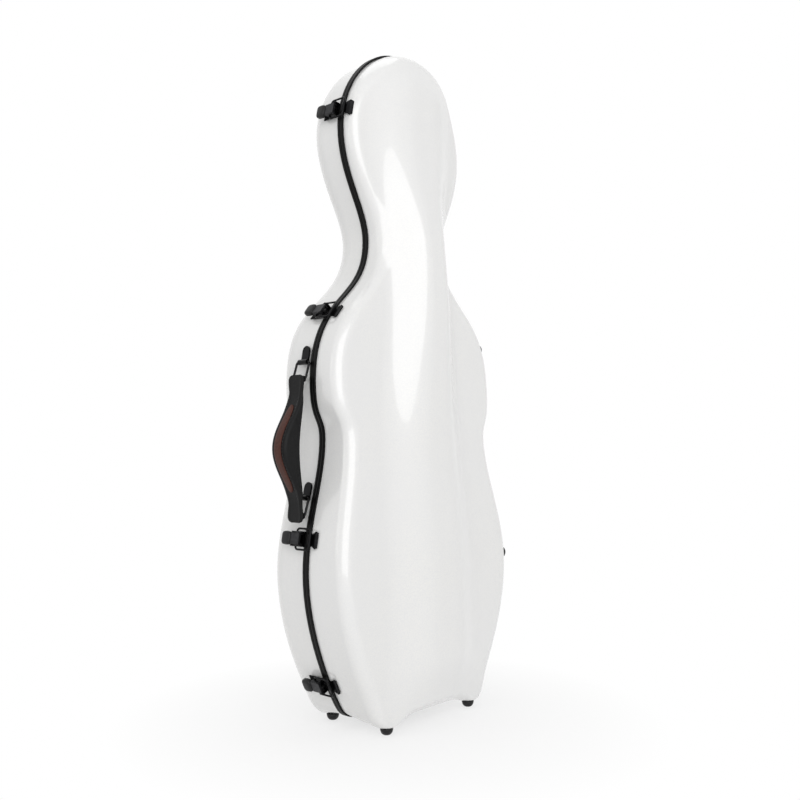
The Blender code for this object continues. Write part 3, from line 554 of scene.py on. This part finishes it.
def camera():
    """The photograph's camera: lens, place and direction fitted to the outline."""
    made = bpy.data.objects.new("camera", bpy.data.cameras.new("camera"))
    bpy.context.scene.collection.objects.link(made)
    made.data.lens = CAMERA_LENS
    made.data.clip_end = CAMERA_REACH_M
    azimuth, pitch = math.radians(CAMERA_AZIMUTH), math.radians(CAMERA_PITCH)
    level = math.cos(pitch)
    ahead = Vector((-math.sin(azimuth) * level, math.cos(azimuth) * level, math.sin(pitch)))
    made.location = [(at + centre) * MM for at, centre in zip(CAMERA_PLACE, (CENTRE_X, CENTRE_Y, 0))]
    made.rotation_euler = ahead.to_track_quat("-Z", "Y").to_euler()
    bpy.context.scene.camera = made


def surroundings():
    """White all round, full for what is seen and weaker for what it lights."""
    world = bpy.data.worlds.new("studio")
    world.use_nodes = True
    bpy.context.scene.world = world
    tree = world.node_tree
    level = add(tree, "ShaderNodeMapRange", [("Value", seen_share(tree))])
    level.inputs["To Min"].default_value = SKY_LIGHT
    level.inputs["To Max"].default_value = SKY_SEEN
    tree.nodes["Background"].inputs["Color"].default_value = (1, 1, 1, 1)
    tree.links.new(level.outputs["Result"], tree.nodes["Background"].inputs["Strength"])


def floor():
    """A pale paper disc that keeps the shadow near the case and turns to plain white with distance."""
    mesh = bpy.data.meshes.new("floor")
    angle = full_circle(FLOOR_SIDES)
    ring = np.stack([FLOOR_RADIUS_M * np.cos(angle), FLOOR_RADIUS_M * np.sin(angle), 0 * angle], 1)
    mesh.from_pydata(ring.tolist(), [], [list(range(FLOOR_SIDES))])
    made = bpy.data.objects.new("floor", mesh)
    bpy.context.scene.collection.objects.link(made)
    material, tree, shader = start_material(*PAPER)
    place = add(tree, "ShaderNodeTexCoord")
    distance = add(tree, "ShaderNodeVectorMath", [(0, place.outputs["Object"])], operation="LENGTH")
    far = add(tree, "ShaderNodeMapRange", [("Value", distance.outputs["Value"])])
    far.inputs["From Min"].default_value, far.inputs["From Max"].default_value = FLOOR_FADE_M
    glow = add(tree, "ShaderNodeEmission", Strength=1.0)
    factors = [(0, far.outputs["Result"]), (1, seen_share(tree))]
    white = add(tree, "ShaderNodeMath", factors, operation="MULTIPLY")
    mixed = [(0, white.outputs["Value"]), (1, shader.outputs[0]), (2, glow.outputs[0])]
    blend = add(tree, "ShaderNodeMixShader", mixed)
    tree.links.new(blend.outputs[0], tree.nodes["Material Output"].inputs["Surface"])
    mesh.materials.append(material)


def lamps():
    """Soft square studio lamps, all turned to the middle of the case."""
    for name, where, size, power in LAMPS:
        lamp = bpy.data.objects.new(name, bpy.data.lights.new(name, "AREA"))
        bpy.context.scene.collection.objects.link(lamp)
        lamp.data.size = size
        lamp.data.energy = power
        lamp.location = where
        lamp.rotation_euler = (Vector(LAMP_AIM_M) - Vector(where)).to_track_quat("-Z", "Y").to_euler()


def finish_nodes():
    """Materials of the solids that keep their own shape: levers, bow clips, and plated steel for the rest."""
    finishes = {"lever": SATIN, "clip": MOULDED}
    for name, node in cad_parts.items():
        node.data.materials.clear()
        node.data.materials.append(finishes.get(name.split("_")[-1], STEEL))


def shells():
    """Both moulded shells, their trim and the lid's lining."""
    skin("lid_gel_coat", -1, 0, SHELL_WALL, SHELL_START, GEL_COAT, "lid", "lid_shell")
    skin("back_gel_coat", 1, 0, SHELL_WALL, SHELL_START, GEL_COAT, "back", "back_shell")
    rim("lid_trim", -1, "lid", "lid_rim")
    rim("back_trim", 1, "back", "back_rim")
    outer = SHELL_WALL + LINING_GAP
    lining = skin("lid_plush", -1, outer, LINING_WALL, LINING_TOP, PLUSH, "lid", "lid_lining")


def rubber_cap(name, origin, out, back, along):
    """The cap of a lever: a rounded square carried along the seam, its ends drawn in by a fourth power."""
    t = np.linspace(-1, 1, CAP_RINGS)[:, None]
    # A share just under one keeps the end rings from closing to a point
    squeeze = (1 - np.abs(t) ** 4 * 0.999) ** 0.25
    u, v = squircle(CAP_SIDES, CAP_CORNER)
    half_x, half_y = (CAP_HIGH[0] - CAP_LOW[0]) / 2, (CAP_HIGH[1] - CAP_LOW[1]) / 2
    x = (CAP_LOW[0] + half_x) + squeeze * (half_x * u)
    y = (CAP_LOW[1] + half_y) + squeeze * (half_y * v)
    z = np.repeat(t * CAP_HALF, CAP_SIDES, 1)
    cap = origin + x[..., None] * out + y[..., None] * back + z[..., None] * along
    faces = capped_grid(CAP_RINGS, CAP_SIDES)
    node = f"{name}_latch_cap"
    make_piece(f"{name}_rubber_cap", cap.reshape(-1, 3), faces, RUBBER, f"{name}_lever", (node,), 60)


def wire_bail(name, origin, out, back, along):
    """The bail of a latch: round wire round a rectangle with rounded corners."""
    flat = rounded_path((BAIL_Y[0], -BAIL_HALF), (BAIL_Y[1], BAIL_HALF), BAIL_CORNER)
    path = origin + BAIL_X * out + flat[:, :1] * back + flat[:, 1:] * along
    points, faces = tube_loop(path, BAIL_WIRE)
    make_piece(f"{name}_wire_bail", points, faces, STEEL, f"{name}_bail", (f"{name}_latch_bail",), 80)


def latches():
    """The rubber caps and wire bails of the four draw latches."""
    for name, height in LATCHES:
        place = side_frame(height)
        rubber_cap(name, *place)
        wire_bail(name, *place)


def grip_line(s, start, rise):
    """X of one face of the grip: the tab's face less a squared cosine bow."""
    return start - rise * np.cos(math.pi * np.clip(s, -GRIP_BOW, GRIP_BOW) / (2 * GRIP_BOW)) ** 2


def grip_leather():
    """The grip with its tabs: a rounded square between two bowed faces, with round ends and raised welts."""
    s = np.linspace(-HANDLE_HALF_LENGTH, HANDLE_HALF_LENGTH, GRIP_RINGS)
    outer = grip_line(s, TAB_OUTER_X, GRIP_RISE)
    inner = grip_line(s, TAB_OUTER_X + TAB_THICKNESS, GRIP_INNER_RISE - GRIP_PADDING)
    end = np.clip((HANDLE_HALF_LENGTH - np.abs(s)) / TAB_ROUNDING, 0, 1)
    neck = 1 - NECKING * np.exp(-((np.abs(s) - NECKING_PLACE) / NECKING_SPREAD) ** 2)
    half_y = STRAP_HALF * neck * (TAB_END_WIDTH + (1 - TAB_END_WIDTH) * np.sqrt(1 - (1 - end) ** 2))
    half_x = (inner - outer) / 2 * (TAB_END_THICKNESS + (1 - TAB_END_THICKNESS) * end**0.5)
    u, v = squircle(GRIP_SIDES, GRIP_CORNER)
    outer_face = u < -0.9
    welt = WELT_HEIGHT * np.exp(-((np.abs(v) - WELT_PLACE) / WELT_SPREAD) ** 2) * outer_face
    x = ((outer + inner) / 2)[:, None] + (half_x - WELT_ROOM)[:, None] * u + WELT_SHIFT - welt
    y = HANDLE_Y + half_y[:, None] * v
    z = np.repeat((HANDLE_Z + s)[:, None], GRIP_SIDES, 1)
    points = np.stack([x, y, z], -1).reshape(-1, 3)
    faces = capped_grid(GRIP_RINGS, GRIP_SIDES)
    make_piece("grip_leather", points, faces, LEATHER, "grip", ("handle_grip",), 70)


def grip_loops():
    """The leather turned round each ring's crossbar: a closed profile turned about the bar."""
    across_bar = ((0, 1, 0), (1, 0, 0), (0, 0, 1))
    for label, bar_x, bar_z in RING_BARS:
        turned(f"{label}_grip_loop", LOOP_PROFILE, (bar_x, HANDLE_Y, bar_z), across_bar, LEATHER, "grip")


def inlay_leather():
    """The brown inlay: a strip on the grip's outer face, crowned across and rounded at its ends."""
    run = np.linspace(-INLAY_HALF_LENGTH, INLAY_HALF_LENGTH, INLAY_RINGS)
    across = np.linspace(-1, 1, INLAY_COLUMNS)
    crown = INLAY_CROWN * (1 - np.abs(across) ** 4)
    taper = np.sqrt(np.clip(1 - (np.abs(run) / (INLAY_HALF_LENGTH + 0.2)) ** 8, 0, 1))[:, None]
    face_x = grip_line(run, TAB_OUTER_X, GRIP_RISE)[:, None]
    y = HANDLE_Y + INLAY_HALF_WIDTH * taper * across
    z = np.repeat((HANDLE_Z + run)[:, None], INLAY_COLUMNS, 1)
    top = np.stack([face_x - INLAY_STANDING - crown, y, z], -1)
    under = top.copy()
    under[..., 0] = face_x + INLAY_SUNK
    ring = np.concatenate([top, under[:, ::-1]], 1).reshape(-1, 3)
    faces = capped_grid(INLAY_RINGS, 2 * INLAY_COLUMNS)
    make_piece("inlay_leather", ring, faces, SMOOTH_LEATHER, "grip", ("handle_inlay",), 60)


def grip_stitching():
    """Two rows of stitches: each is a short thread along the bowed face, as thick as an ellipse is high."""
    t = np.linspace(-1, 1, STITCH_RINGS)
    angle = full_circle(STITCH_SIDES)
    thick = STITCH_RADIUS * np.sqrt(1 - 0.98 * t**2)[:, None]
    one_stitch = np.array(grid_faces(STITCH_RINGS, STITCH_SIDES))
    ends = np.array([np.arange(STITCH_SIDES), np.arange(STITCH_SIDES) + (STITCH_RINGS - 1) * STITCH_SIDES])
    points, faces = [], []
    for side in (-1, 1):
        for at in np.arange(-STITCH_ROW_HALF, STITCH_ROW_HALF + 0.1, STITCH_PITCH):
            base = grip_line(at + STITCH_HALF * t, TAB_OUTER_X, GRIP_RISE)[:, None] - STITCH_STANDING
            x = base + thick * np.cos(angle)
            y = HANDLE_Y + side * STITCH_SIDE + thick * np.sin(angle)
            z = np.repeat((HANDLE_Z + at + STITCH_HALF * t)[:, None], STITCH_SIDES, 1)
            first = len(points) * STITCH_RINGS * STITCH_SIDES
            faces += (one_stitch + first).tolist() + (ends + first).tolist()
            points.append(np.stack([x, y, z], -1).reshape(-1, 3))
    make_piece("grip_stitching", np.concatenate(points), faces, THREAD, "grip")


def handle():
    """The leather grip with its tabs and loops, the brown inlay and the stitches."""
    grip_leather()
    grip_loops()
    inlay_leather()
    grip_stitching()


def feet():
    """Turned rubber feet under the case, and domed ones on its right side whose edge is a quarter ellipse."""
    upright = ((0, 0, 1), (1, 0, 0), (0, 1, 0))
    for body, y in (("lid", LID_FOOT_Y), ("back", BACK_FOOT_Y)):
        for label, x in (("left", -FOOT_X), ("right", FOOT_X)):
            node = f"{body}_{label}_foot"
            turned(f"{node}_rubber", FOOT_PROFILE, (x, y, 0), upright, RUBBER, body, (node,))
    angle = np.radians(np.linspace(0, 90, 10))
    arc = np.array(DOME_CENTRE) + np.array(DOME_RADII) * np.stack([np.cos(angle), np.sin(angle)], 1)
    dome = [*DOME_BASE, *arc, (0, DOME_CENTRE[1] + DOME_RADII[1])]
    for label, height, lid_y, back_y in SIDE_FEET:
        origin, out, back, along = side_frame(height, True)
        for body, y in (("lid", lid_y), ("back", back_y)):
            node = f"{label}_{body}_side_foot"
            turned(f"{node}_rubber", dome, origin + y * back, (out, back, along), RUBBER, body, (node,))


def soft_copy(node, material, body, width_mm):
    """A soft piece made from its solid: corners merged, edges rounded over by a bevel of a real width."""
    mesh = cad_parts[node].data.copy()
    mesh.materials.clear()
    mesh.materials.append(material)
    build = bmesh.new()
    build.from_mesh(mesh)
    bmesh.ops.remove_doubles(build, verts=build.verts, dist=MERGE_DISTANCE_M)
    flat = math.radians(FLAT_ANGLE)
    bmesh.ops.dissolve_limit(build, angle_limit=flat, verts=build.verts, edges=build.edges)
    build.to_mesh(mesh)
    build.free()
    piece = bpy.data.objects.new(f"{node}_cloth", mesh)
    bpy.context.scene.collection.objects.link(piece)
    mesh.shade_smooth()
    bevel = piece.modifiers.new("rounding", "BEVEL")
    bevel.width = width_mm * MM
    bevel.segments = BEVEL_SEGMENTS
    bevel.limit_method = "ANGLE"
    bevel.angle_limit = math.radians(ROUNDED_ANGLE)
    bevel.harden_normals = True
    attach(piece, body)
    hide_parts(node)
    return piece


def inside():
    """The plush bed, neck rest and accessory lid, and the webbing of the neck strap and bow-tip loop."""
    for node, body, width_mm in (("back_lining", "back", 2.0), ("neck_rest", "back", 1.5),
                                 ("accessory_lid", "accessory_board", 0.8)):
        soft_copy(node, PLUSH, body, width_mm)
    soft_copy("neck_strap", WEBBING, "back", 0.5)
    soft_copy("bow_tip_loop", WEBBING, "lid", 0.5)


bpy.context.scene.view_settings.view_transform = "Standard"
camera()
surroundings()
floor()
lamps()
finish_nodes()
shells()
latches()
handle()
feet()
inside()
